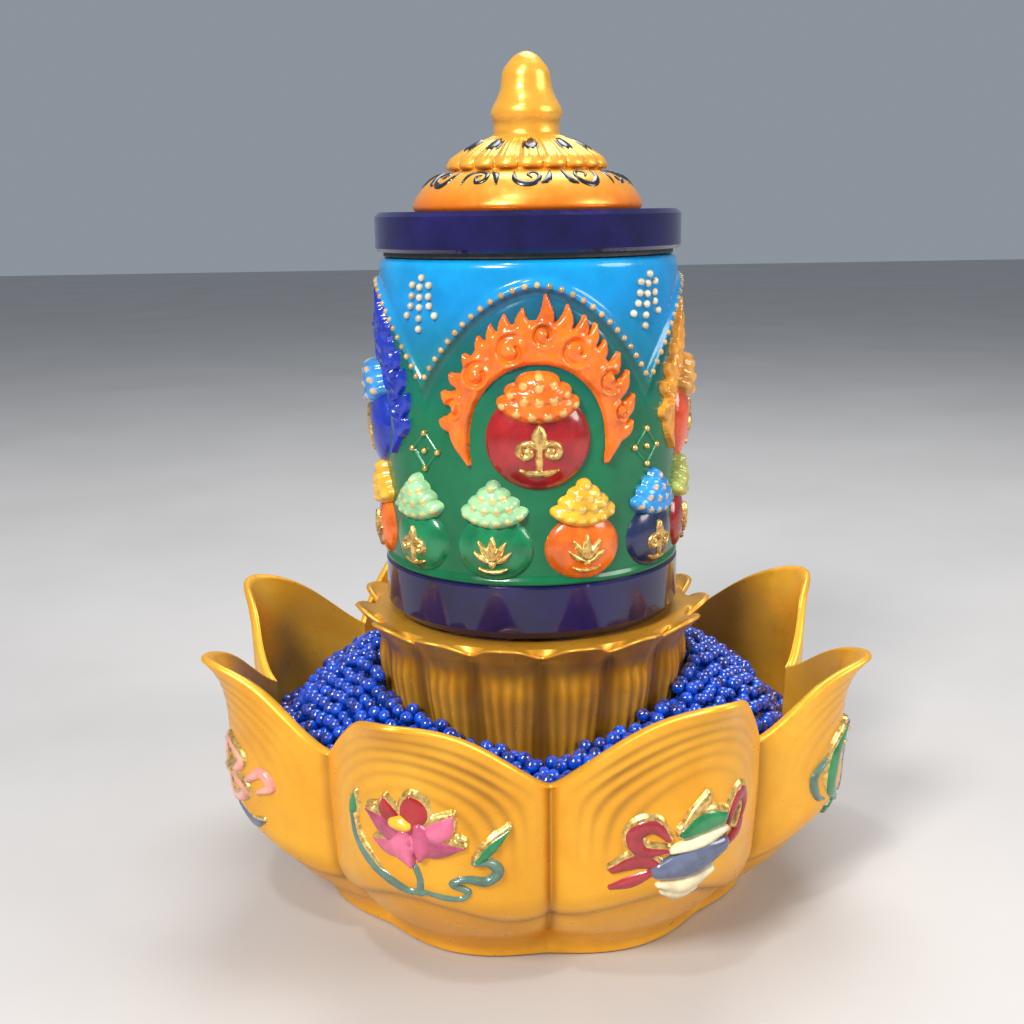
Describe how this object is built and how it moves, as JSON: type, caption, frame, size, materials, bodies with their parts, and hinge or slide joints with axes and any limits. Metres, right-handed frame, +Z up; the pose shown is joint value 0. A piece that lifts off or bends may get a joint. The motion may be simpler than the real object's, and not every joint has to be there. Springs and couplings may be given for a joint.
{
  "type": "prayer wheel",
  "caption": "Table-top prayer wheel: a painted relief drum turns by hand on a spindle above a lotus pedestal in a petal bowl of glass beads.",
  "frame": {"origin": "centre of the underside of the felt pad, where the wheel stands", "axes": "+Z up along the spindle; -Y towards the viewer, through a petal valley and the middle of a large jar"},
  "size_m": [0.172, 0.172, 0.224],
  "materials": {
    "gold_resin": "satin gold paint on cast resin",
    "blue_glass": "glossy translucent blue glass",
    "felt": "matte felt",
    "steel": "zinc plated",
    "bearing_steel": "polished",
    "cage_plastic": "natural nylon",
    "brass": "turned",
    "aluminium_tube": "satin",
    "lacquered_resin": "gloss lacquer, blue to green, with painted relief",
    "navy_lacquer": "gloss lacquer",
    "orange_gold_resin": "satin orange and gold paint on cast resin",
    "cardboard": "plain",
    "paper": "uncoated",
    "ribbon": "satin ribbon",
    "black_rubber": "matte"
  },
  "bodies": {
    "base": {"lotus_bowl": "gold_resin", "lotus_pedestal": "gold_resin", "glass_beads": "blue_glass", "felt_pad": "felt", "spindle": "steel", "base_washer": "steel", "base_nut": "steel", "bearing_spacer": "brass", "bearing_inner_ring": "bearing_steel", "bearing_nut": "steel"},
    "ball_cage": {"bearing_balls": "bearing_steel", "bearing_cage": "cage_plastic"},
    "drum": {"drum_sleeve": "lacquered_resin", "drum_base": "navy_lacquer", "hub_tube": "aluminium_tube", "hub_screws": "steel", "upper_bush": "brass", "bearing_outer_ring": "bearing_steel", "bearing_shields": "bearing_steel", "roll_core": "cardboard", "paper_roll": "paper", "roll_ribbons": "ribbon"},
    "lid": {"lid_disc": "navy_lacquer", "lid_gasket": "black_rubber", "dome": "orange_gold_resin", "finial": "orange_gold_resin", "lid_washer": "steel", "lid_screw": "steel"}
  },
  "joints": [
    {"name": "drum_spin", "type": "hinge", "parent": "base", "child": "drum", "pos_m": [0, 0, 0.0855], "axis": [0, 0, 1], "continuous": true},
    {"name": "cage_spin", "type": "hinge", "parent": "base", "child": "ball_cage", "pos_m": [0, 0, 0.0855], "axis": [0, 0, 1], "continuous": true},
    {"name": "lid_lift", "type": "slide", "parent": "drum", "child": "lid", "axis": [0, 0, 1], "range_m": [0, 0.06]}
  ],
  "couplings": [
    {"joint": "cage_spin", "follows": "drum_spin", "ratio": 0.63}
  ]
}
